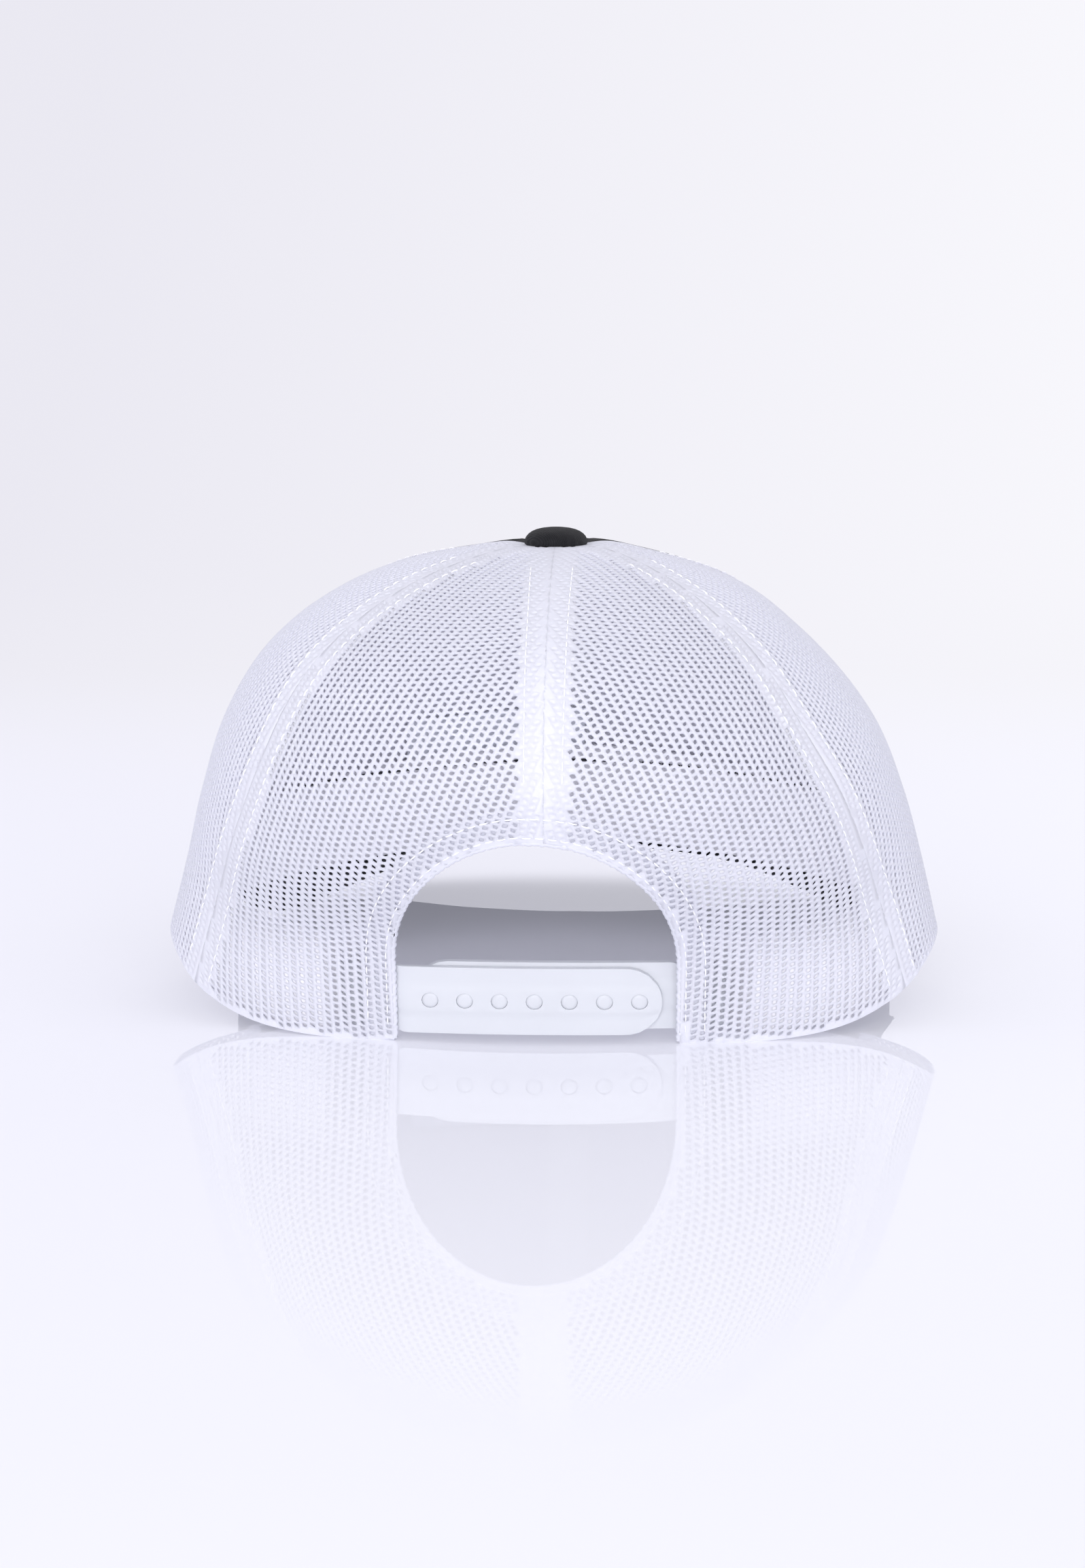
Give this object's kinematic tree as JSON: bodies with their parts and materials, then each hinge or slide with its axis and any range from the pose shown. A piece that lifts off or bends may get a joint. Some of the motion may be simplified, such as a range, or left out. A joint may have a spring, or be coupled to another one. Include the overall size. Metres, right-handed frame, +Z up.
{
  "type": "trucker mesh cap",
  "caption": "Trucker cap with solid front panels, mesh side and back panels, a curved visor, a covered top button and an adjustable snap closure under a rear arch.",
  "frame": {"origin": "on the ground under the middle of the cap's bounding box, the cap standing on the back of its rim and the sides of its visor", "axes": "+Z up, -Y towards the visor's tip, +X towards the wearer's left"},
  "size_m": [0.192, 0.2531, 0.1188],
  "materials": {
    "black_twill": "matte cotton twill",
    "white_mesh": "warp-knit polyester mesh",
    "pale_lining": "stiff plain-woven lining",
    "seam_tape": "twill tape",
    "sweatband_cloth": "brushed cotton",
    "label_cloth": "satin weave, blank",
    "visor_board_plastic": "moulded sheet",
    "snap_plastic": "satin, slightly translucent",
    "button_metal": "plated"
  },
  "bodies": {
    "cap": {"front_panel_left": "black_twill", "front_panel_right": "black_twill", "visor_top_cover": "black_twill", "visor_under_cover": "black_twill", "button_cover": "black_twill", "side_mesh_panel_left": "white_mesh", "side_mesh_panel_right": "white_mesh", "back_mesh_panel_left": "white_mesh", "back_mesh_panel_right": "white_mesh", "opening_hem": "white_mesh", "front_lining_left": "pale_lining", "front_lining_right": "pale_lining", "centre_front_seam_tape": "seam_tape", "front_side_seam_tape_left": "seam_tape", "front_side_seam_tape_right": "seam_tape", "side_back_seam_tape_left": "seam_tape", "side_back_seam_tape_right": "seam_tape", "centre_back_seam_tape": "seam_tape", "sweatband": "sweatband_cloth", "inside_label": "label_cloth", "visor_board": "visor_board_plastic", "outer_strap_sewn_end": "snap_plastic", "inner_strap_sewn_end": "snap_plastic", "button_shell": "button_metal", "button_back": "button_metal"},
    "outer_strap": {"snap_strap_outer": "snap_plastic"},
    "inner_strap": {"snap_strap_inner": "snap_plastic"}
  },
  "joints": [
    {"name": "outer_strap_swing", "type": "hinge", "parent": "cap", "child": "outer_strap", "pos_m": [0.0339, 0.08947, 0.01065], "axis": [0, -0.225, -0.9744], "range_deg": [0, 65], "stiffness_Nm_per_rad": 0.02},
    {"name": "inner_strap_swing", "type": "hinge", "parent": "cap", "child": "inner_strap", "pos_m": [-0.0285, 0.08812, 0.01065], "axis": [0, -0.225, -0.9744], "range_deg": [0, 60], "stiffness_Nm_per_rad": 0.02}
  ]
}
